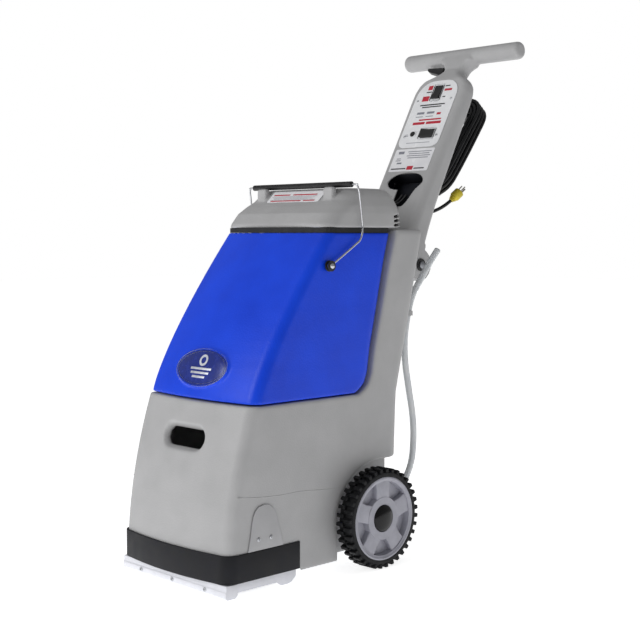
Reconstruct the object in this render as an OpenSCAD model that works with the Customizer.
// Walk-behind carpet cleaner: brush head and base, lift-off recovery tank with
// vacuum dome, two wheels and a folding T-handle with its controls and cord.
// Front is -Y, width is X, up is +Z. The floor is z = 0 and the origin lies on
// it, under the middle of the machine's box.

/* [Base] */
// Width of the base body across its flat sides
body_w = 326; // [300:1:420]
// Height of the shelf that carries the recovery tank
shelf_z = 352; // [340:1:400]
// Height of the shoulder at the top of the rear spine
shoulder_z = 683; // [650:1:760]
// Wall thickness of the moulded base
wall = 5; // [3:0.5:8]
// How far the front faces bulge forward at mid-width
face_bulge = 12; // [0:1:20]
// Height of the side walls' lower edge over the floor
skirt_z = 22; // [15:1:40]
// Height of the body's lower edge behind the wheels
rear_skirt_z = 212; // [205:1:250]
// Radius of the wheel arch
arch_r = 119.5; // [112:0.5:135]
// Depth of each wheel well behind the body's side
well_d = 45; // [30:1:60]

/* [Bumper and shoe] */
// Lower edge of the bumper
bumper_z = 28; // [26:1:40]
// Height of the bumper band
bumper_h = 54; // [35:1:60]
// Length of the bumper's side arms from the front
bumper_l = 185; // [120:1:185]
// Thickness of the bumper at the front
bumper_t = 4.6; // [3:0.1:10]
// Half the width of the vacuum shoe
shoe_hw = 161; // [130:1:175]
// Height of the vacuum shoe
shoe_h = 27; // [20:1:27]
// Front to back depth of the vacuum shoe
shoe_d = 28; // [20:1:30]
// Width of the suction slot
slot_w = 8; // [5:0.5:12]

/* [Brush] */
// Radius over the bristles
brush_r = 40; // [32:1:44]
// Radius of the brush core
core_r = 24; // [16:1:28]
// Length of the brush
brush_l = 268; // [200:1:272]
// Radius of the brush pulley
brush_pulley_r = 20; // [14:1:24]
// Radius of the motor pulley
motor_pulley_r = 12; // [8:0.5:16]
// Radius of the brush spindle
spindle_r = 6; // [4:0.5:8]

/* [Wheels] */
// Radius over the tyre's lugs
wheel_r = 101.6; // [85:0.1:110]
// Width of the tyre
tyre_w = 38; // [28:1:50]
// Outer radius of the rim
rim_r = 84.3; // [70:0.1:90]
// Radius of the axle
axle_r = 6.35; // [5:0.05:10]
// Number of lugs in each row of the tread
lugs = 36; // [24:1:48]
// Number of spokes
spokes = 5; // [3:1:8]
// Gap between the body's side and the tyre
wheel_gap = 8; // [6:1:20]

/* [Recovery tank] */
// Gap between the shelf and the tank
tank_gap = 3; // [1:0.5:6]
// Wall thickness of the tank
tank_wall = 4; // [3:0.5:6]
// How much narrower each side is at the top of the tank
tank_draft = 7.5; // [0:0.5:15]
// Height of the gasket between tank and dome
gasket_h = 10; // [6:1:14]
// Height of the dome over its gasket
dome_h = 80; // [70:1:110]
// Radius of the bail wire
bail_wire_r = 2; // [1.5:0.25:4]
// Radius of the bail's grip sleeve
bail_grip_r = 6; // [5:0.5:10]
// Radius of the float ball
float_r = 20; // [12:1:24]

/* [Handle] */
// Rearward lean of the handle from the vertical
lean = 29.6; // [15:0.1:40]
// Distance from the fold pivot to the T-bar
handle_l = 539; // [480:1:650]
// Length of the T-bar between the centres of its round ends
bar_l = 303.6; // [240:1:400]
// Radius of the T-bar
bar_r = 20; // [14:0.5:22]
// Wall thickness of the hollow handle
handle_wall = 4; // [3:0.5:6]
// Radius of the fold pivot bolt
pivot_r = 6; // [4:0.5:8]
// Height of the control panel plate
panel_h = 182; // [170:1:190]
// Width of the control panel plate
panel_w = 120; // [100:1:122]

/* [Cords] */
// Diameter of the power cord
cord_d = 8; // [6:0.5:10]
// Outer diameter of the drain hose
hose_d = 14; // [10:0.5:18]
// Thickness of the power cord's hank
hank_t = 40; // [30:1:50]

/* [Hidden] */
$fn = 48;

// Clearances: running fits, parts that slide past each other, and soft contacts
run = 0.05;
gap = 0.3;
eps = 0.01;

// Colours
grey = [0.68, 0.69, 0.68];
dark = [0.08, 0.08, 0.10];
steel = [0.72, 0.73, 0.75];
white = [0.93, 0.93, 0.94];
blue = [0.09, 0.25, 0.87];

// Base
hw = body_w / 2;
front_r = 25;
rear_r = 40;
bumper_top = bumper_z + bumper_h;
body_y = bumper_t + 0.2;
well_x = hw - well_d;
arch_y = 411;
arch_z = 92;
skirt_y = arch_y - arch_r;
rear_y = 479;
// Fold pivot of the handle, on the hinge block behind the spine
piv_y = 626;
piv_z = shoulder_z - 77;
ear_r = 36;
ear_x0 = 60;
ear_x1 = 84;
// Ends of the handle, and the middle of the machine's box
bar_yl = -27.2;
bar_y = piv_y + handle_l * sin(lean) + bar_yl * cos(lean);
// Cord hooks: place along the handle, reach behind it, and the height of each upturned tip
hook_s = [228, handle_l - 116];
hook_reach = [48, 82];
hook_hw = 15;
hook_lip_t = 6;
hook_lip_h = 19;
rearmost_y = max(bar_y + bar_r,
    piv_y + (hook_s[1] + hook_lip_h) * sin(lean) + (hook_reach[1] + hook_lip_t - 2) * cos(lean));
mid_y = (rearmost_y - face_bulge) / 2;

// Front face of the base, from the bumper's top to the shelf
function body_front(z) = let (t = max(0, (z - bumper_top) / (shelf_z - bumper_top)))
    body_y + 20 * t + 38 * t * t;
// Rear face of the base and spine
function body_rear(z) = lookup((z - rear_skirt_z) / (shoulder_z - rear_skirt_z),
    [[0, rear_y], [0.28, rear_y + 5], [0.56, rear_y + 37], [0.72, rear_y + 55], [1, rear_y + 85]]);

// Recovery tank
tank_z = shelf_z + tank_gap;
tank_top = shoulder_z - 7;
tank_front_y = 68.5;
tank_run = 200;
function tank_t(z) = (z - tank_z) / (tank_top - tank_z);
function tank_front(z) = tank_front_y + tank_run * pow(max(0, tank_t(z)), 1.27);
function tank_rear(z) = lookup(tank_t(z),
    [[0, 352], [0.025, 366], [0.06, 378], [0.125, 387], [0.28, 396], [0.545, 418], [0.815, 439.5], [1, 458]]);
function tank_hw(z) = hw + 0.3 - tank_draft * tank_t(z);
tank_levels = [0, 0.025, 0.06, 0.125, 0.28, 0.42, 0.545, 0.68, 0.815, 0.92, 1];
spine_gap = 4;

// Dome
dome_z = tank_top + gasket_h;
dome_top = dome_z + dome_h;
dome_wall = 3.5;
motor_y = 400;
lug_x = 100;
lug_w = 28;

// Inside of the base: solution tank, filler, duct port, leads and drain
stank_y0 = 236;
stank_y1 = 450;
stank_z0 = rear_skirt_z + 10;
stank_z1 = shelf_z - wall - 6;
filler_r = 26;
filler_y = stank_y0 + filler_r + 13;
port_y = 200;
port_r = 21;
loom_y = 540;
drain_z = 120;

// Brush head
brush_y = 86;
brush_z = brush_r + 2;
tunnel_r = brush_r + 5;
plate_x = brush_l / 2 + 4;
plate_t = 4;
pulley_x = plate_x + plate_t + 2;
pulley_w = 7;
motor_cy = 185;
motor_cz = 120;
motor_r = 36;

// Wheels
wheel_y = 378;
wheel_x = hw + wheel_gap;
hub_r = 27;

// Bail
bail_y = 268;
bail_z = tank_top - 65;
bail_x = tank_hw(bail_z) + 7.2;
bail_bar_y = 345;
bail_bar_z = dome_top + bail_grip_r + gap;
bail_hw = bail_x - 17.1;

// Handle sections: [height along the handle, half width, front, rear]
col_front = -61;
col_len = handle_l - 78;
neck_hw = 28.5;
fillet_r = 28;
neck_s = handle_l - bar_r - fillet_r;
function col_rear(s) = -1 - 21 * (s - 45) / 415;
panel_s = col_len - 192;
upper_s = panel_s + 147;
lower_s = panel_s + 35;
button_x = -24;

// Cord routes, as points chosen by hand in the machine's own frame (y from the bumper)
hose_route = [
    [100, 505, 120], [104, 522, 122], [114, 541, 142], [126, 551, 185], [131, 552, 240], [131, 548, 290],
    [131, 536, 345], [130, 526, 400], [130, 524, 455], [130, 534, 506], [130, 548, 543], [130, 574, 577],
    [130, 604, 613], [130, 629, 639]
];
// In the handle's frame: from the gland up to the hank
lead_route = [[-30, 4, 140], [-30, 12, 140.5], [-32, 22, 143.5], [-37, 31, 151], [-43, 36, 164],
    [-49, 37, 183], [-53, 36.5, 205], [-54, 36.5, 226], [-51, 38, 245]];
// From the hank's lower right round to the plug
tail_route = [[48, 7, 222], [46, 6, 208], [43, 5, 191], [39, 8, 171], [36, 17, 153], [34, 31, 146],
    [33, 45, 150], [32, 55, 164], [32, 61, 184], [33, 70, 206]];
plug_tilt = 24;
loom_route = [[0, -48, 150], [0, -55, 132], [-1, -66, 116], [-3, -82, 96], [-5, -97, 70], [-6, -107, 44],
    [-6, -113, 22]];

module place() {
    translate([0, -mid_y, 0]) children();
}

// The handle's own frame: origin on the fold pivot, +Z along the handle
module handle_frame() {
    place() translate([0, piv_y, piv_z]) rotate([-lean, 0, 0]) children();
}

// A side profile in (y, z), extruded across X from x0 to x1
module across(x0, x1) {
    translate([x0, 0, 0]) rotate([90, 0, 90]) linear_extrude(x1 - x0) children();
}

// A round bar along X
module bar_x(x0, x1, y, z, r) {
    translate([x0, y, z]) rotate([0, 90, 0]) cylinder(r = r, h = x1 - x0);
}

// Rounded outline whose front side bulges by b, or is straight with b = 0
nf = 8;
nc = 5;
function outline(w, y0, y1, rf, rr, b) = let (n = b == 0 ? 1 : nf) concat(
    [for (i = [0:n]) let (u = 2 * i / n - 1) [(w - rf) * u, y0 - b * (1 - u * u)]],
    [for (i = [1:nc]) let (a = -90 + 90 * i / nc) [w - rf + rf * cos(a), y0 + rf + rf * sin(a)]],
    [for (i = [0:nc]) let (a = 90 * i / nc) [w - rr + rr * cos(a), y1 - rr + rr * sin(a)]],
    [for (i = [0:nc]) let (a = 90 + 90 * i / nc) [rr - w + rr * cos(a), y1 - rr + rr * sin(a)]],
    [for (i = [0:nc - 1]) let (a = 180 + 90 * i / nc) [rf - w + rf * cos(a), y0 + rf + rf * sin(a)]]);
function at_z(points, z) = [for (p = points) [p[0], p[1], z]];

// A closed solid through a stack of rings, from the lowest to the highest
module skin(rings) {
    n = len(rings[0]);
    m = len(rings);
    polyhedron(
        points = [for (ring = rings) each ring],
        faces = concat(
            [[for (i = [0:n - 1]) i]],
            [for (k = [0:m - 2]) for (i = [0:n - 1]) let (j = (i + 1) % n) each [
                [k * n + i, (k + 1) * n + i, (k + 1) * n + j],
                [k * n + i, (k + 1) * n + j, k * n + j]
            ]],
            [[for (i = [n - 1:-1:0]) (m - 1) * n + i]]),
        convexity = 6);
}

// A round tube along a smooth curve through hand-chosen points
function curve_point(p, i, u) = let (
    a = p[max(i - 1, 0)], b = p[i], c = p[i + 1], d = p[min(i + 2, len(p) - 1)])
    0.5 * (2 * b + (c - a) * u + (2 * a - 5 * b + 4 * c - d) * u * u + (3 * b - a - 3 * c + d) * u * u * u);
function curve(p, steps) = concat(
    [for (i = [0:len(p) - 2]) for (k = [0:steps - 1]) curve_point(p, i, k / steps)], [p[len(p) - 1]]);
function unit(v) = v / norm(v);
module tube(route, r, sides, steps, ref = [1, 0, 0]) {
    c = curve(route, steps);
    last = len(c) - 1;
    skin([for (i = [0:last]) let (
        t = unit(c[min(i + 1, last)] - c[max(i - 1, 0)]),
        u = unit(cross(ref, t)),
        v = cross(t, u))
        [for (k = [0:sides - 1]) let (a = 360 * k / sides) c[i] + r * (cos(a) * u + sin(a) * v)]]);
}

// ---- Base ----

// Wheel well and arch, grown by extra on every side
module well_profile(extra) {
    translate([arch_y, arch_z]) circle(r = arch_r + extra, $fn = 96);
    translate([arch_y, 0]) square([200, rear_skirt_z + extra]);
    translate([skirt_y - extra, -20]) square([arch_r, arch_z + 20]);
}

module wells(extra) {
    for (s = [-1, 1]) {
        across(min(s * (well_x - extra), s * (hw + 20)), max(s * (well_x - extra), s * (hw + 20)))
            well_profile(extra);
    }
}

// Space in front of the spine, over the shelf, that holds the recovery tank
module tank_space() {
    across(-hw - 20, hw + 20) polygon(concat(
        [[-60, shelf_z], [tank_rear(tank_z) + 1, shelf_z]],
        [for (t = tank_levels) let (z = tank_z + t * (tank_top - tank_z)) [tank_rear(z) + spine_gap, z]],
        [[tank_rear(tank_top) + spine_gap + 4, shoulder_z + 20], [-60, shoulder_z + 20]]));
}

slot_z = 280;
slot_hw = 57;
slot_h = 36;
module slot_shape(extra) {
    for (s = [-1, 1]) translate([s * (slot_hw - slot_h / 2), 0]) circle(r = slot_h / 2 + extra);
    translate([-slot_hw + slot_h / 2, -slot_h / 2 - extra])
        square([2 * slot_hw - slot_h, slot_h + 2 * extra]);
}

function body_ring(z, t) = at_z(outline(hw - t, z < shelf_z ? body_front(z) + t : body_front(shelf_z) + t,
    body_rear(z) - t, front_r - t, rear_r - t, face_bulge), z);
function spine_ring(z) = let (rear = body_rear(z) - wall,
    front = z < tank_z + 30 ? tank_rear(tank_z + 30) + spine_gap + wall : tank_rear(z) + spine_gap + wall)
    at_z(outline(hw - wall, front, rear, 12, rear_r - wall, 0), z);

module base_shell() {
    color(grey) place() {
        difference() {
            skin([for (z = [skirt_z, 60, bumper_top, 125, 170, rear_skirt_z, 260, 305, shelf_z,
                shelf_z + 90, shelf_z + 180, shelf_z + 260, shoulder_z - 8]) body_ring(z, 0),
                at_z(outline(hw - 3, body_front(shelf_z) + 3, body_rear(shoulder_z) - 3,
                    front_r - 3, rear_r - 3, face_bulge), shoulder_z)]);
            tank_space();
            // Inside of the lower body, round the wheel wells
            difference() {
                skin([for (z = [skirt_z - 2, 60, bumper_top, 125, 170, rear_skirt_z, 260, 305, shelf_z - wall])
                    body_ring(z, wall)]);
                wells(wall);
            }
            wells(0);
            // Inside of the spine
            skin([for (z = [shelf_z - wall - 6, tank_z + 40, tank_z + 90, tank_z + 175, tank_z + 260,
                shoulder_z - wall]) spine_ring(z)]);
            // The front lower edge stands over the shoe
            translate([-hw - 20, -60, 0]) cube([body_w + 40, 60 + bumper_l + 5, bumper_z]);
            // Hand slot
            translate([0, 60, slot_z]) rotate([90, 0, 0]) linear_extrude(100) slot_shape(0);
            // Filler hole in the shelf, duct port and axle holes
            translate([-95, filler_y, shelf_z - 20]) cylinder(r = filler_r + 1, h = 40);
            translate([0, port_y, shelf_z - 20]) cylinder(r = port_r + 1, h = 40);
            bar_x(-hw, hw, wheel_y, wheel_r, axle_r + 3);
            // Way for the leads through the shoulder, and for the drain
            translate([0, loom_y, shoulder_z - 20]) cylinder(r = 12 + run, h = 40);
            translate([100, rear_y - 20, drain_z]) rotate([-90, 0, 0]) cylinder(r = 9 + run, h = 60);
        }
        // Hinge block behind the spine, with the fold pivot's bore
        difference() {
            across(-ear_x0 + 2, ear_x0 - 2) difference() {
                union() {
                    translate([piv_y, piv_z]) circle(r = ear_r - 2);
                    polygon([[body_rear(piv_z - 46) - 2, piv_z - 46], [piv_y + 4, piv_z - 33.7],
                        [piv_y, piv_z + 34], [body_rear(piv_z + 34) - 2, piv_z + 34]]);
                }
            }
            bar_x(-ear_x0, ear_x0, piv_y, piv_z, pivot_r + run);
        }
    }
}

// Rubbing band that wraps the front and both sides
module bumper() {
    side = bumper_t / 2;
    color(dark) place() translate([0, 0, bumper_z]) linear_extrude(bumper_h) difference() {
        polygon(outline(hw + 0.2 + side, 0, bumper_l + 80, front_r + 3, 8, face_bulge));
        polygon(outline(hw + 0.2, bumper_t, bumper_l + 90, front_r, 8, face_bulge));
        translate([-hw - 20, bumper_l]) square([body_w + 40, 200]);
    }
}

module chassis_pan() {
    color(steel) place() translate([0, 0, bumper_z + 3]) {
        difference() {
            union() {
                translate([-hw + wall + 1, 146, 0]) cube([body_w - 2 * wall - 2, skirt_y - 152, 3]);
                translate([-well_x + wall + 4, skirt_y - 8, 0])
                    cube([2 * (well_x - wall - 4), rear_y - wall - skirt_y, 3]);
            }
            for (s = [-1, 1]) translate([s * 120, 170, -1]) cylinder(r = 4, h = 5);
        }
    }
}

// Tongue-shaped cover over the end of the brush on one side
cover_t = 2.5;
module side_cover(s) {
    color([0.64, 0.65, 0.64]) place() {
        x0 = s * (hw + 0.2);
        difference() {
            across(min(x0, x0 + s * cover_t), max(x0, x0 + s * cover_t)) polygon([
                [52.5, bumper_top + 0.4], [59, 113], [64, 145], [69, 157], [78, 164.5], [92, 167.5],
                [106, 166], [117, 158], [124, 146], [130, 125], [141, bumper_top + 0.4]
            ]);
            for (y = [78, 109]) bar_x(s * hw - 6, s * hw + 6, y, 103, 2.5 + run);
        }
    }
}
module side_cover_left() { side_cover(-1); }
module side_cover_right() { side_cover(1); }

// A dome-headed screw along +Z with its head's seat at z = 0
module screw(r, head_r, head_h, length) {
    rotate_extrude() polygon([[0, -length], [r, -length], [r, 0], [head_r, 0], [head_r, head_h * 0.4],
        [head_r * 0.7, head_h * 0.85], [head_r * 0.3, head_h], [0, head_h]]);
}

module side_cover_screws() {
    color(steel) place() for (s = [-1, 1]) for (y = [78, 109])
        translate([s * (hw + 0.2 + cover_t), y, 103]) rotate([0, s * 90, 0])
            screw(2.5, 4.2, 1.8, cover_t + 0.15);
}

// ---- Vacuum shoe and brush head ----

shoe_y = 3;
arm_x = 152.5;
module vacuum_shoe() {
    color(white) place() difference() {
        union() {
            across(-shoe_hw, shoe_hw) polygon([[shoe_y + 2, 0], [shoe_y + shoe_d - 6, 0], [shoe_y + shoe_d, 6],
                [shoe_y + shoe_d, shoe_h], [shoe_y, shoe_h], [shoe_y, 4]]);
            // Side arms that carry the tail runners
            for (s = [-1, 1]) across(min(s * arm_x, s * (arm_x + 3)), max(s * arm_x, s * (arm_x + 3)))
                polygon([[shoe_y + shoe_d - 1, 8], [136, 8], [142, 0], [165, 0], [183, 12], [183, 25],
                    [shoe_y + shoe_d - 1, 25]]);
        }
        // Suction slot, open below and above
        translate([-135, shoe_y + 10, -1]) cube([270, slot_w, shoe_h + 2]);
        for (x = [-100, 0, 100]) translate([x, -1, 13]) rotate([-90, 0, 0]) cylinder(r = 2.5 + run, h = 12);
    }
}

module shoe_screws() {
    color(steel) place() for (x = [-100, 0, 100]) translate([x, shoe_y, 13])
        rotate([90, 0, 0]) screw(2.5, 4.5, 2, 8);
}

// Tunnel over the brush, with an end plate on each side
module brush_housing() {
    color([0.5, 0.51, 0.53]) place() {
        across(-plate_x, plate_x) difference() {
            translate([brush_y, brush_z]) circle(r = tunnel_r + 3, $fn = 96);
            translate([brush_y, brush_z]) circle(r = tunnel_r, $fn = 96);
            translate([brush_y - 80, -60]) square([160, bumper_z + 64]);
        }
        for (s = [-1, 1]) difference() {
            across(min(s * plate_x, s * (plate_x + plate_t)), max(s * plate_x, s * (plate_x + plate_t)))
                polygon([[brush_y - 50, 29], [brush_y + 50, 29], [brush_y + 50, 70], [brush_y + 26, 100],
                    [brush_y - 26, 100], [brush_y - 50, 70]]);
            bar_x(min(s * plate_x, s * (plate_x + plate_t)) - 1, max(s * plate_x, s * (plate_x + plate_t)) + 1,
                brush_y, brush_z, spindle_r + 4 + run);
        }
    }
}

module brush_bearings() {
    color(steel) place() for (s = [-1, 1]) translate([s * plate_x + (s < 0 ? -plate_t : 0), brush_y, brush_z])
        rotate([0, 90, 0]) difference() {
            cylinder(r = spindle_r + 4, h = plate_t);
            translate([0, 0, -1]) cylinder(r = spindle_r + run, h = plate_t + 2);
        }
}

// Brush core with its spindle and drive pulley
module brush_core() {
    color([0.15, 0.16, 0.2]) place() {
        bar_x(-plate_x - plate_t, pulley_x + pulley_w, brush_y, brush_z, spindle_r);
        bar_x(-brush_l / 2, brush_l / 2, brush_y, brush_z, core_r);
        bar_x(pulley_x, pulley_x + pulley_w, brush_y, brush_z, brush_pulley_r);
    }
}

// Rows of tufts round the core, set in two chevrons
tuft_rows = 10;
tufts = 15;
module brush_bristles() {
    color([0.1, 0.2, 0.5]) place() translate([0, brush_y, brush_z])
        for (i = [0:tufts - 1]) for (k = [0:tuft_rows - 1]) {
            x = (i - (tufts - 1) / 2) * (brush_l - 16) / (tufts - 1);
            translate([x, 0, 0]) rotate([90 + 360 * k / tuft_rows + abs(x) * 0.25, 0, 0])
                translate([-3, -3, core_r + eps]) cube([6, 6, brush_r - core_r - eps]);
        }
}

module motor_pulley() {
    color(steel) place() {
        bar_x(pulley_x, pulley_x + pulley_w, motor_cy, motor_cz, motor_pulley_r);
        bar_x(plate_x - 20, pulley_x + pulley_w + 1, motor_cy, motor_cz, 5);
    }
}

module brush_motor() {
    color([0.25, 0.26, 0.28]) place() difference() {
        union() {
            bar_x(20, plate_x + plate_t, motor_cy, motor_cz, motor_r);
            // Foot on the pan
            translate([40, motor_cy - 26, bumper_z + 6]) cube([80, 52, motor_cz - bumper_z - motor_r + 4]);
        }
        bar_x(plate_x - 24, plate_x + plate_t + 1, motor_cy, motor_cz, 5 + run);
    }
}

belt_t = 2.5;
module belt_loop(extra) {
    hull() {
        translate([brush_y, brush_z]) circle(r = brush_pulley_r + extra);
        translate([motor_cy, motor_cz]) circle(r = motor_pulley_r + extra);
    }
}
module drive_belt() {
    color(dark) place() across(pulley_x + 0.5, pulley_x + pulley_w - 0.5) difference() {
        belt_loop(gap + belt_t);
        belt_loop(gap);
    }
}

// ---- Solution system ----

spray_y = 142;
spray_z = 62;
module spray_bar() {
    color([0.75, 0.6, 0.25]) place() difference() {
        bar_x(-120, 120, spray_y, spray_z, 6);
        for (x = [-90, 0, 90]) translate([x, spray_y, spray_z - 8]) cylinder(r = 3 + run, h = 8);
    }
}

module spray_tips() {
    color([0.75, 0.6, 0.25]) place() for (x = [-90, 0, 90]) translate([x, spray_y, spray_z - 20]) {
        difference() {
            union() {
                cylinder(r = 3, h = 17);
                cylinder(r = 5.5, h = 10);
            }
            translate([0, 0, -1]) cylinder(r = 1, h = 16);
        }
    }
}

module solution_pump() {
    color([0.2, 0.21, 0.22]) place() {
        translate([-125, 168, bumper_z + 6]) cube([60, 66, 56]);
        translate([-95, 200, bumper_z + 6]) cylinder(r = 24, h = 96);
    }
}

module solution_hose() {
    color([0.8, 0.82, 0.85]) place()
        tube([[-95, 168, 70], [-95, 160, 70], [-90, 152, 74], [-80, 148, 78], [-70, 146.5, 74], [-66, 146.5, 70]],
            4, 10, 2);
}

module solution_tank() {
    color([0.85, 0.87, 0.88]) place() difference() {
        translate([-148, stank_y0, stank_z0]) cube([296, stank_y1 - stank_y0, stank_z1 - stank_z0]);
        translate([-145, stank_y0 + 3, stank_z0 + 3])
            cube([290, stank_y1 - stank_y0 - 6, stank_z1 - stank_z0 - 6]);
        translate([-95, filler_y, stank_z1 - 10]) cylinder(r = filler_r - 8, h = 20);
    }
}

module filler_cap() {
    color(dark) place() translate([-95, filler_y, 0]) {
        translate([0, 0, shelf_z - wall]) cylinder(r = filler_r, h = wall + 1);
        translate([0, 0, stank_z1]) cylinder(r = filler_r - 4, h = shelf_z - wall - stank_z1);
    }
}

// Duct from the shoe up the inside of the front to the port under the tank
duct_y = body_front(210) - face_bulge + wall + 2.5;
module vacuum_duct() {
    color([0.3, 0.31, 0.33]) place() {
        difference() {
            hull() {
                translate([-130, shoe_y + 8, shoe_h + 0.2]) cube([260, 12, 1]);
                translate([-20, duct_y + 3, 165]) cube([40, 14, 1]);
            }
            hull() {
                translate([-127, shoe_y + 10.5, shoe_h]) cube([254, 7, 1]);
                translate([-17, duct_y + 5.5, 166]) cube([34, 9, 1]);
            }
        }
        difference() {
            translate([-24, duct_y, 165.9]) cube([48, port_y + 22 - duct_y, 44]);
            translate([-21, duct_y + 3, 168.9]) cube([42, port_y + 16 - duct_y, 38]);
            translate([-17, duct_y + 5.5, 160]) cube([34, 9, 20]);
            translate([0, port_y, 190]) cylinder(r = port_r - 3, h = 40);
        }
        difference() {
            translate([0, port_y, 209]) cylinder(r = port_r, h = shelf_z - 209 + tank_gap - gap);
            translate([0, port_y, 190]) cylinder(r = port_r - 3, h = shelf_z);
        }
    }
}

// ---- Axle, wheels ----

module axle() {
    color(steel) place() bar_x(-wheel_x - tyre_w + 4, wheel_x + tyre_w - 4, wheel_y, wheel_r, axle_r);
}

module axle_brackets() {
    color(steel) place() for (s = [-1, 1]) difference() {
        across(min(s * 92, s * 100), max(s * 92, s * 100)) polygon([[wheel_y - 40, bumper_z + 6],
            [wheel_y + 40, bumper_z + 6], [wheel_y + 20, wheel_r + 20], [wheel_y - 20, wheel_r + 20]]);
        bar_x(-110, 110, wheel_y, wheel_r, axle_r + run);
    }
}

// Tyre: a smooth carcass with two staggered rows of square lugs
lug_h = 6;
lug_w0 = 8;
lug_w1 = 6.4;
module tread_row(phase) {
    for (i = [0:lugs - 1]) rotate(phase + 360 * i / lugs) polygon([
        [-lug_w0 / 2, 3 + lug_h - wheel_r], [-lug_w1 / 2, -wheel_r], [lug_w1 / 2, -wheel_r],
        [lug_w0 / 2, 3 + lug_h - wheel_r]]);
}
module tyre(s) {
    row = tyre_w / 2 - 0.5;
    color(dark) place() translate([s * wheel_x, wheel_y, wheel_r]) rotate([90, 0, s * 90]) {
        difference() {
            cylinder(r = wheel_r - lug_h, h = tyre_w, $fn = 96);
            translate([0, 0, -1]) cylinder(r = rim_r, h = tyre_w + 2, $fn = 96);
        }
        linear_extrude(row) tread_row(0);
        translate([0, 0, tyre_w - row]) linear_extrude(row) tread_row(180 / lugs);
    }
}
module tyre_left() { tyre(-1); }
module tyre_right() { tyre(1); }

// Moulded rim: outer band, hub and a web with a pocket between each pair of spokes
rim_lip = 9;
module pocket() {
    difference() {
        circle(r = rim_r - rim_lip, $fn = 96);
        circle(r = hub_r + 17);
        for (i = [0:spokes - 1]) rotate(360 * i / spokes)
            translate([-20, 0]) square([40, rim_r]);
    }
}
module rim(s) {
    color([0.6, 0.6, 0.64]) place() translate([s * wheel_x, wheel_y, wheel_r]) rotate([90, 0, s * 90])
        difference() {
            translate([0, 0, 1]) cylinder(r = rim_r - run, h = tyre_w - 2, $fn = 96);
            translate([0, 0, tyre_w / 2 + 3]) linear_extrude(tyre_w) pocket();
            translate([0, 0, -1]) linear_extrude(tyre_w / 2 - 2) pocket();
            translate([0, 0, tyre_w - 6]) cylinder(r = hub_r + 1, h = 10);
            translate([0, 0, -1]) cylinder(r = axle_r + run, h = tyre_w + 2);
        }
}
module rim_left() { rim(-1); }
module rim_right() { rim(1); }

module hub_cap(s) {
    color(dark) place() translate([s * (wheel_x + tyre_w - 6), wheel_y, wheel_r]) rotate([0, s * 90, 0])
        rotate_extrude() polygon(concat([[axle_r + 1, 0], [hub_r, 0], [hub_r, 2]],
            [for (a = [10:10:80]) [hub_r * cos(a), 2 + 9 * sin(a)]], [[0, 11], [0, 5], [axle_r + 1, 5]]));
}
module hub_cap_left() { hub_cap(-1); }
module hub_cap_right() { hub_cap(1); }

// ---- Drain hose ----

module drain_outlet() {
    color(dark) place() translate([100, 0, drain_z]) rotate([-90, 0, 0]) difference() {
        union() {
            translate([0, 0, rear_y - wall - 6]) cylinder(r = 9, h = wall + 6);
            translate([0, 0, rear_y]) cylinder(r = 13, h = 5);
            translate([0, 0, rear_y]) cylinder(r = hose_d / 2 + 1.5, h = hose_route[0][1] - rear_y);
        }
        translate([0, 0, rear_y - wall - 10]) cylinder(r = 4.5, h = 30);
    }
}

module drain_hose() {
    color([0.85, 0.88, 0.92]) place() tube(hose_route, hose_d / 2, 12, 3);
}

clip_z = 506;
module hose_clip() {
    y = hose_route[9][1];
    color(grey) place() translate([hose_route[9][0], y, clip_z - 5]) {
        difference() {
            union() {
                cylinder(r = hose_d / 2 + 3, h = 10);
                translate([-6, body_rear(clip_z + 5) - y + eps, 0]) cube([12, y - body_rear(clip_z + 5), 10]);
            }
            translate([0, 0, -1]) rotate([-20, 0, 0]) cylinder(r = hose_d / 2 + 1, h = 30, center = true);
            translate([-4, 0, -1]) cube([8, 30, 12]);
        }
    }
}

// ---- Recovery tank and dome ----

function tank_ring(z, t) = at_z(outline(tank_hw(z) - t, tank_front(z) + t * 1.15, tank_rear(z) - t,
    front_r - t, 22 - t, face_bulge), z);

// Centre of the emblem on the tank's front, and the slope of that face
emblem_z = tank_z + 58;
emblem_slope = atan((tank_front(emblem_z + 30) - tank_front(emblem_z - 30)) / 60);
emblem_a = 74;
emblem_b = 38.5;
module emblem_frame() {
    translate([0, tank_front(emblem_z) - face_bulge, emblem_z]) rotate([90 - emblem_slope, 0, 0]) children();
}
module oval(a, b) {
    polygon([for (i = [0:59]) [a * cos(6 * i), b * sin(6 * i)]]);
}

module recovery_tank() {
    color(blue) place() {
        difference() {
            union() {
                skin([for (t = tank_levels) tank_ring(tank_z + t * (tank_top - tank_z), 0)]);
                // Flat pad under the emblem
                emblem_frame() translate([0, 0, -6]) linear_extrude(7.5) oval(emblem_a + 2, emblem_b + 2);
            }
            skin([tank_ring(tank_z + tank_wall, tank_wall + 2),
                for (t = [0.06, 0.125, 0.28, 0.42, 0.545, 0.68, 0.815, 0.92])
                    tank_ring(tank_z + t * (tank_top - tank_z), tank_wall),
                at_z(outline(tank_hw(tank_top) - tank_wall, tank_front(tank_top) + 5, tank_rear(tank_top) - tank_wall,
                    20, 18, face_bulge), tank_top + 1)]);
            translate([0, port_y, tank_z - 1]) cylinder(r = port_r - 3, h = 20);
            for (s = [-1, 1]) translate([s * (bail_x - 34), bail_y, bail_z]) rotate([0, s * 90, 0])
                cylinder(r = 3 + run, h = 40);
        }
        // Standpipe over the duct's port
        translate([0, port_y, tank_z]) difference() {
            cylinder(r = port_r, h = 190);
            translate([0, 0, -1]) cylinder(r = port_r - 3, h = 200);
        }
    }
}

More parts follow.
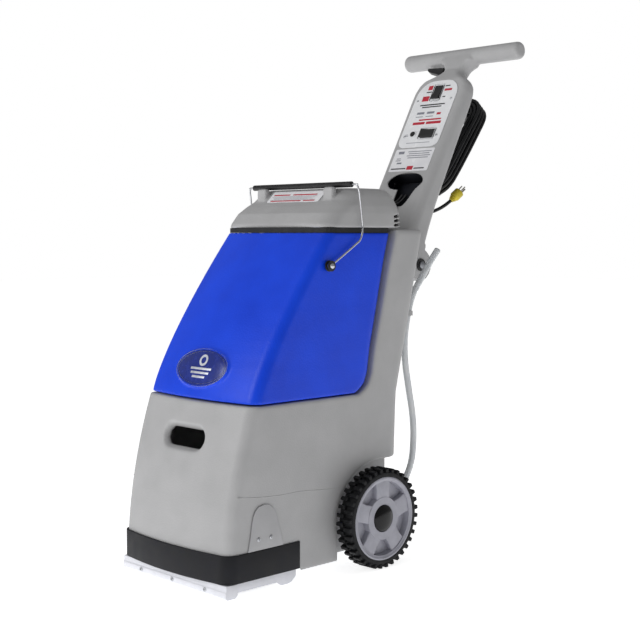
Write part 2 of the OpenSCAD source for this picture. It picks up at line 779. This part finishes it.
module emblem_plate() {
    color([0.75, 0.77, 0.8]) place() emblem_frame() translate([0, 0, 1.5]) {
        linear_extrude(1.6) difference() {
            oval(emblem_a, emblem_b);
            oval(emblem_a - 4, emblem_b - 4);
        }
        linear_extrude(1) oval(emblem_a - 3.5, emblem_b - 3.5);
        // Plain mark: a ring over three bars
        translate([0, 12, 0]) linear_extrude(1.6) difference() {
            circle(r = 10);
            circle(r = 6);
        }
        for (k = [0:2]) translate([-30 + 5 * k, -8 - 7 * k, 0]) linear_extrude(1.6) square([60 - 10 * k, 3]);
    }
}

module tank_gasket() {
    color(dark) place() translate([0, 0, tank_top]) linear_extrude(gasket_h) difference() {
        polygon(outline(tank_hw(tank_top) - 0.5, tank_front(tank_top) + 1, tank_rear(tank_top), 24, 22, face_bulge));
        polygon(outline(tank_hw(tank_top) - 14, tank_front(tank_top) + 16, tank_rear(tank_top) - 16, 16, 16,
            face_bulge));
    }
}

// Dome sections: [share of the height, half width, front, rear, corner radius]
dome_hw = tank_hw(tank_top) + 1.2;
dome_sections = [[0, dome_hw, 266, 498, 34], [0.1, dome_hw, 268, 501, 36], [0.37, dome_hw - 1, 284, 500, 40],
    [0.69, dome_hw - 7, 322, 494, 44], [0.88, dome_hw - 13, 338, 486, 46], [0.97, dome_hw - 19, 345, 479, 46],
    [1, dome_hw - 27, 353, 471, 44]];
function dome_ring(d, t) = at_z(outline(d[1] - t, d[2] + t, d[3] - t, d[4] - t, d[4] - t, 0), dome_z + dome_h * d[0]);
// Foot and slope of the label, which bridges the upper curve between the lugs
label_slope = atan(dome_h * 0.29 / 25);

module dome_shell() {
    color(grey) place() difference() {
        union() {
            skin([for (d = dome_sections) dome_ring(d, 0)]);
            for (s = [-1, 1]) translate([s * lug_x - lug_w / 2, 322, dome_z + 40])
                cube([lug_w, 14.5, dome_h - 38]);
        }
        skin(concat([dome_ring([-0.1, dome_hw, 266, 498, 34], dome_wall + 8)],
            [for (i = [1:4]) dome_ring(dome_sections[i], dome_wall)],
            [at_z(outline(dome_hw - 23, 350, 474, 40, 40, 0), dome_top - dome_wall)]));
        // Exhaust louvres at the rear corners
        for (k = [0:2]) for (s = [-1, 1]) translate([s * (dome_hw - 9), 480, dome_z + 6 + 8 * k])
            rotate([0, 0, -s * 45]) rotate([12, 0, 0]) cube([34, 40, 3.2], center = true);
    }
}

module dome_label() {
    color(white) place() translate([0, 318.4, dome_z + dome_h * 0.66]) rotate([label_slope, 0, 0])
        translate([-78, 0, 0.15]) cube([156, 33, 0.8]);
}

// Fan housing and motor under the dome, on a plate that closes the tank
fan_r = 62;
plate_h = 3;
fan_h = 30;
eye_r = 20;
module vacuum_motor() {
    color([0.2, 0.21, 0.23]) place() translate([0, 0, dome_z]) {
        difference() {
            union() {
                linear_extrude(plate_h) polygon(outline(tank_hw(tank_top) - 9, tank_front(tank_top) + 12,
                    tank_rear(tank_top) - 8, 16, 16, 0));
                translate([0, motor_y, plate_h]) cylinder(r = fan_r, h = fan_h);
            }
            translate([0, motor_y, plate_h + 3]) cylinder(r = fan_r - 3, h = fan_h - 6);
            translate([0, motor_y, -1]) cylinder(r = eye_r, h = plate_h + fan_h + 2);
        }
        translate([0, motor_y, plate_h + fan_h]) difference() {
            cylinder(r = 40, h = dome_h - dome_wall - plate_h - fan_h - 4);
            translate([0, 0, -1]) cylinder(r = 5 + run, h = 26);
        }
    }
}

module vacuum_impeller() {
    low = plate_h + 5;
    height = fan_h - 12;
    color(steel) place() translate([0, motor_y, dome_z + low]) {
        difference() {
            cylinder(r = fan_r - 6, h = 2);
            translate([0, 0, -1]) cylinder(r = eye_r - 2, h = 4);
        }
        translate([0, 0, height - 2]) cylinder(r = fan_r - 6, h = 2);
        for (i = [0:8]) rotate(40 * i) translate([eye_r - 1, -1, 1]) rotate(20) cube([36, 2, height - 2]);
        translate([0, 0, height - 2]) cylinder(r = 5, h = 28);
    }
}

float_z = dome_z - 75;
module float_cage() {
    color([0.3, 0.3, 0.32]) place() translate([0, motor_y, float_z - 4]) {
        for (i = [0:3]) rotate(45 + 90 * i) translate([float_r + 3, -3, 0]) cube([3, 6, dome_z - float_z + 4]);
        cylinder(r = float_r + 5, h = 3);
    }
}

module float_ball() {
    color(white) place() translate([0, motor_y, float_z - 1 + gap + float_r]) sphere(r = float_r);
}

// ---- Bail ----

// One side of the wire, from the eye up to the grip
bail_side = [[0, bail_y + 5, bail_z + 3], [0, bail_y + 40, bail_z + 23.5], [0, 340, bail_z + 43],
    [0, 350, bail_z + 50], [0, 356, bail_z + 62], [0, 358, bail_z + 76], [0, 355, bail_z + 98],
    [0, 349, dome_top - 14], [-1, 346.5, dome_top - 2], [-4, 345.4, bail_bar_z - 2], [-11, bail_bar_y, bail_bar_z]];
function bail_end(s) = [for (p = bail_side) [s * (bail_x + p[0]), p[1], p[2]]];
function reversed(v) = [for (i = [len(v) - 1:-1:0]) v[i]];

module bail_wire() {
    color(steel) place() {
        tube(concat(bail_end(-1), [[-60, bail_bar_y, bail_bar_z], [60, bail_bar_y, bail_bar_z]],
            reversed(bail_end(1))), bail_wire_r, 12, 3, [0, 1, -0.6]);
        for (s = [-1, 1]) difference() {
            bar_x(s * bail_x - 2, s * bail_x + 2, bail_y, bail_z, 8);
            bar_x(s * bail_x - 3, s * bail_x + 3, bail_y, bail_z, 3 + run);
        }
    }
}

module bail_grip() {
    color(dark) place() difference() {
        bar_x(-bail_hw, bail_hw, bail_bar_y, bail_bar_z, bail_grip_r);
        bar_x(-bail_hw - 1, bail_hw + 1, bail_bar_y, bail_bar_z, bail_wire_r + run);
    }
}

// Screws that the bail swings on, each with a washer on the tank's side
module bail_screws() {
    color(dark) place() for (s = [-1, 1]) translate([s * (bail_x + 2 + gap), bail_y, bail_z])
        rotate([0, s * 90, 0]) {
            screw(3, 6.5, 4, 16);
            translate([0, 0, -4 - 2 * gap - 2.4]) difference() {
                cylinder(r = 11, h = 2.4);
                translate([0, 0, -1]) cylinder(r = 2.9, h = 5);
            }
        }
}

// ---- Handle ----

function col_ring(s, w, front, rear, rf, rr) = at_z(outline(w, front, rear, rf, rr, 0), s);
function neck_w(s) = s < neck_s ? neck_hw : neck_hw + fillet_r - sqrt(max(0, pow(fillet_r, 2) - pow(s - neck_s, 2)));
col_sections = [[45, 84], [90, 80], [150, 77], [300, 79], [col_len - 61, 81], [col_len - 36, 80],
    [col_len - 18, 75], [col_len - 6, 66], [col_len + 3, 54], [col_len + 11, 42], [col_len + 19, 34],
    [col_len + 27, 30]];

module handle_column() {
    color(grey) handle_frame() {
        difference() {
            union() {
                skin(concat(
                    [for (c = col_sections) col_ring(c[0], c[1],
                        col_front + max(0, c[0] - col_len + 6) * 0.34,
                        col_rear(min(c[0], col_len)) + max(0, c[0] - col_len) * 0.5, 18, 16)],
                    [for (s = [neck_s + 2, neck_s + 10, neck_s + 17, neck_s + 23, neck_s + 27])
                        col_ring(s, neck_w(s), bar_yl - bar_r, bar_yl + bar_r, 14, 14)],
                    [col_ring(handle_l, neck_w(neck_s + 27), bar_yl - bar_r + 1, bar_yl + bar_r - 1, 14, 14)]));
                // T-bar
                translate([-bar_l / 2, bar_yl, handle_l]) rotate([0, 90, 0]) cylinder(r = bar_r, h = bar_l);
                for (s = [-1, 1]) translate([s * bar_l / 2, bar_yl, handle_l]) rotate([0, s * 90, 0])
                    rotate_extrude() polygon(concat([[0, -1], [bar_r, -1]],
                        [for (a = [0:15:90]) [bar_r - 9 + 9 * cos(a), bar_r - 9 + 9 * sin(a) - 2]], [[0, bar_r - 2]]));
                // Ears that straddle the hinge block
                for (s = [-1, 1]) across(min(s * ear_x0, s * ear_x1), max(s * ear_x0, s * ear_x1)) {
                    circle(r = ear_r);
                    polygon([[-34, 0], [-52, 22], [col_front, 48], [-4, 48], [0, 0]]);
                }
            }
            // Hollow inside, from the fork up to the shoulders, with a bulkhead over the scoop
            skin([for (s = [45 - handle_wall, 150, scoop_s + 22]) col_ring(s,
                (s < 90 ? 84 : 77) - handle_wall - (s < 90 ? 3 : 0), col_front + handle_wall,
                col_rear(max(s, 45)) - handle_wall, 14, 12)]);
            skin([for (s = [scoop_s + 26, 300, col_len - 36]) col_ring(s, 76 - handle_wall, col_front + handle_wall,
                col_rear(s) - handle_wall, 14, 12)]);
            // Scoop that the leads come out of
            translate([scoop_x, -16, scoop_s]) rotate([90, 0, 0]) linear_extrude(90) scoop_shape();
            // Holes behind the switches, the button, and for the gland
            translate([1, col_front + 10, upper_s]) cube([switch_w - 2, 40, switch_h - 2], center = true);
            translate([18, col_front + 10, lower_s]) cube([switch_h - 2, 40, switch_w - 2], center = true);
            translate([button_x, col_front + 10, lower_s]) rotate([90, 0, 0]) cylinder(r = 7.5, h = 30);
            translate([lead_route[0][0], -30, lead_route[0][2]]) rotate([-90, 0, 0]) cylinder(r = 7, h = 40);
            // Seat for the trigger beside the neck
            trigger_space();
            bar_x(-ear_x1 - 1, ear_x1 + 1, 0, 0, pivot_r + run);
        }
    }
}
scoop_s = 182;
scoop_x = 5;
module scoop_shape() {
    intersection() {
        translate([0, -12]) circle(r = 56, $fn = 64);
        translate([0, 46]) circle(r = 68, $fn = 64);
        translate([-60, -21]) square([120, 42]);
    }
    polygon([[-14, -10], [40, -10], [32, -32], [26, -52], [18, -66], [-8, -66], [-12, -54]]);
}

switch_w = 27;
switch_h = 44;
module panel_outline() {
    top_r = 42;
    low_r = 20;
    hull() {
        for (s = [-1, 1]) {
            translate([s * (panel_w / 2 - low_r), low_r]) circle(r = low_r, $fn = 32);
            translate([s * (panel_w / 2 - top_r), panel_h - top_r]) circle(r = top_r, $fn = 48);
        }
    }
}

module control_panel() {
    color(white) handle_frame() difference() {
        union() {
            translate([0, col_front, panel_s]) rotate([90, 0, 0]) linear_extrude(2) panel_outline();
            // Switch frames and the button's collar
            translate([1 - switch_w / 2 - 1, col_front - 4, upper_s - switch_h / 2 - 1])
                cube([switch_w + 2, 3, switch_h + 2]);
            translate([18 - switch_h / 2 - 1, col_front - 4, lower_s - switch_w / 2 - 1])
                cube([switch_h + 2, 3, switch_w + 2]);
            translate([button_x, col_front, lower_s]) rotate([90, 0, 0]) cylinder(r = 9, h = 4);
            // Corner screws
            for (p = [[-48, 30], [48, 30], [-50, 128], [50, 128]])
                translate([p[0], col_front - 1, panel_s + p[1]]) rotate([90, 0, 0]) cylinder(r = 3, h = 2.2);
        }
        translate([1, col_front, upper_s]) cube([switch_w - 4, 40, switch_h - 4], center = true);
        translate([18, col_front, lower_s]) cube([switch_h - 4, 40, switch_w - 4], center = true);
        translate([button_x, col_front + 10, lower_s]) rotate([90, 0, 0]) cylinder(r = 6.5 + run, h = 30);
    }
}

module instruction_label() {
    color(white) handle_frame() translate([-58, col_front - 0.8, panel_s - 63]) cube([116, 0.8, 60]);
}

// Rocker with two faces that meet in a shallow valley; length along Z, pivot on X
rocker_tilt = 7;
module rocker(width, length) {
    r = length / 2 - gap;
    translate([-width / 2, 0, 0]) rotate([90, 0, 90]) linear_extrude(width) intersection() {
        circle(r = r, $fn = 96);
        polygon([[6, -r - 1], [6, r + 1], [-3 - tan(rocker_tilt) * r, r + 1], [-3, 0],
            [-3 - tan(rocker_tilt) * r, -r - 1]]);
    }
}
module rocker_upper() {
    color(dark) handle_frame() translate([1, col_front - 1, upper_s]) rotate([-rocker_tilt, 0, 0])
        rocker(switch_w - 4 - 2 * gap, switch_h - 4);
}
module rocker_lower() {
    color(dark) handle_frame() translate([18, col_front - 1, lower_s]) rotate([0, 90, 0])
        rotate([-rocker_tilt, 0, 0]) rocker(switch_w - 4 - 2 * gap, switch_h - 4);
}

module reset_button() {
    color(dark) handle_frame() translate([button_x, col_front + 3, lower_s]) rotate([90, 0, 0])
        cylinder(r = 6.5, h = 11);
}

// Spray trigger under the bar, left of the neck, turning on a pin in the fillet
trigger_s = handle_l - bar_r;
trigger_x = -42;
module trigger_space() {
    translate([-100, bar_yl - 9, neck_s - 10]) cube([64, 18, trigger_s - neck_s + 12]);
}
module spray_trigger() {
    color(dark) handle_frame() translate([0, bar_yl, 0]) rotate([90, 0, 0]) {
        linear_extrude(14, center = true) polygon([[-92, trigger_s - 6], [-88, trigger_s - 14],
            [-60, trigger_s - 24], [-43, trigger_s - 30], [-38, trigger_s - 26], [-38, trigger_s - 8],
            [-60, trigger_s - 6]]);
        // Boss on its pin
        translate([trigger_x, trigger_s - 14]) cylinder(r = 4.5, h = 17, center = true);
    }
}

// Bolt of the fold pivot, and the washer and head at each end
module pivot_bolt() {
    color(steel) place() bar_x(-ear_x1 - 3, ear_x1 + 3, piv_y, piv_z, pivot_r);
}
module pivot_knobs() {
    color(dark) place() for (s = [-1, 1]) translate([s * (ear_x1 + gap), piv_y, piv_z]) rotate([0, s * 90, 0])
        difference() {
            union() {
                cylinder(r = 14, h = 3);
                cylinder(r = 8, h = 7);
            }
            translate([0, 0, -1]) cylinder(r = pivot_r, h = 4 - gap);
        }
}

// Leads from the scoop down into the spine
module wiring_loom() {
    color(dark) handle_frame() for (x = [0, 12]) translate([x, 0, 0]) tube(loom_route, 3, 8, 2);
}
module loom_grommet() {
    color(dark) place() translate([0, loom_y, shoulder_z - wall]) difference() {
        union() {
            cylinder(r = 12, h = wall);
            translate([0, 0, wall]) cylinder(r = 15, h = 2);
        }
        translate([0, 0, -1]) cylinder(r = 9, h = wall + 4);
    }
}

// ---- Power cord ----

// Two hooks on the back of the handle
module cord_hooks() {
    color(dark) handle_frame() {
        for (k = [0, 1]) {
            base = col_rear(hook_s[k] - 14) + gap;
            lip = k == 0 ? -14 : 0;
            translate([-hook_hw, base, hook_s[k] - 5]) cube([2 * hook_hw, hook_reach[k] - base + 4, 10]);
            translate([-hook_hw, hook_reach[k] - 2, hook_s[k] - 5 + lip])
                cube([2 * hook_hw, hook_lip_t, hook_lip_h + 5]);
            translate([-hook_hw - 4, base, hook_s[k] - 14]) cube([2 * hook_hw + 8, 4, 28]);
        }
        // Strain relief of the power cord
        translate([lead_route[0][0], 0, lead_route[0][2]]) rotate([-90, 0, 0]) {
            translate([0, 0, -12]) cylinder(r = 6.8, h = 16);
            translate([0, 0, -4]) cylinder(r = 9, h = 3);
        }
    }
}

hank_tilt = 8;
module hank_frame() {
    handle_frame() translate([0, 14, 186]) rotate([-hank_tilt, 0, 0]) children();
}
module stadium(w, h) {
    hull() for (y = [w / 2, h - w / 2]) translate([0, y]) circle(r = w / 2, $fn = 48);
}
module power_cord_hank() {
    color(dark) hank_frame() rotate([90, 0, 0]) translate([0, 0, -hank_t / 2 - 6]) linear_extrude(hank_t)
        difference() {
            stadium(112, 286);
            translate([0, 30]) stadium(52, 226);
        }
}
module power_cord_lead() {
    color(dark) handle_frame() {
        tube(lead_route, cord_d / 2, 8, 3);
        tube(tail_route, cord_d / 2, 8, 3);
    }
}

module power_plug() {
    end = tail_route[len(tail_route) - 1];
    color([0.85, 0.8, 0.15]) handle_frame() translate(end) rotate([-plug_tilt, 0, 0]) {
        cylinder(r1 = 5, r2 = 12, h = 12);
        translate([0, 0, 12]) cylinder(r = 12, h = 20);
    }
}

base_shell();
chassis_pan();
bumper();
side_cover_left();
side_cover_right();
side_cover_screws();
vacuum_shoe();
shoe_screws();
brush_housing();
brush_bearings();
brush_motor();
drive_belt();
spray_bar();
spray_tips();
solution_pump();
solution_hose();
solution_tank();
filler_cap();
vacuum_duct();
axle();
axle_brackets();
drain_outlet();
drain_hose();
hose_clip();
pivot_bolt();
pivot_knobs();
wiring_loom();
loom_grommet();
tyre_left();
tyre_right();
rim_left();
rim_right();
hub_cap_left();
hub_cap_right();
brush_core();
brush_bristles();
motor_pulley();
recovery_tank();
emblem_plate();
tank_gasket();
dome_shell();
dome_label();
vacuum_motor();
float_cage();
bail_screws();
float_ball();
vacuum_impeller();
bail_wire();
bail_grip();
handle_column();
control_panel();
instruction_label();
cord_hooks();
power_cord_hank();
power_cord_lead();
power_plug();
rocker_upper();
rocker_lower();
reset_button();
spray_trigger();
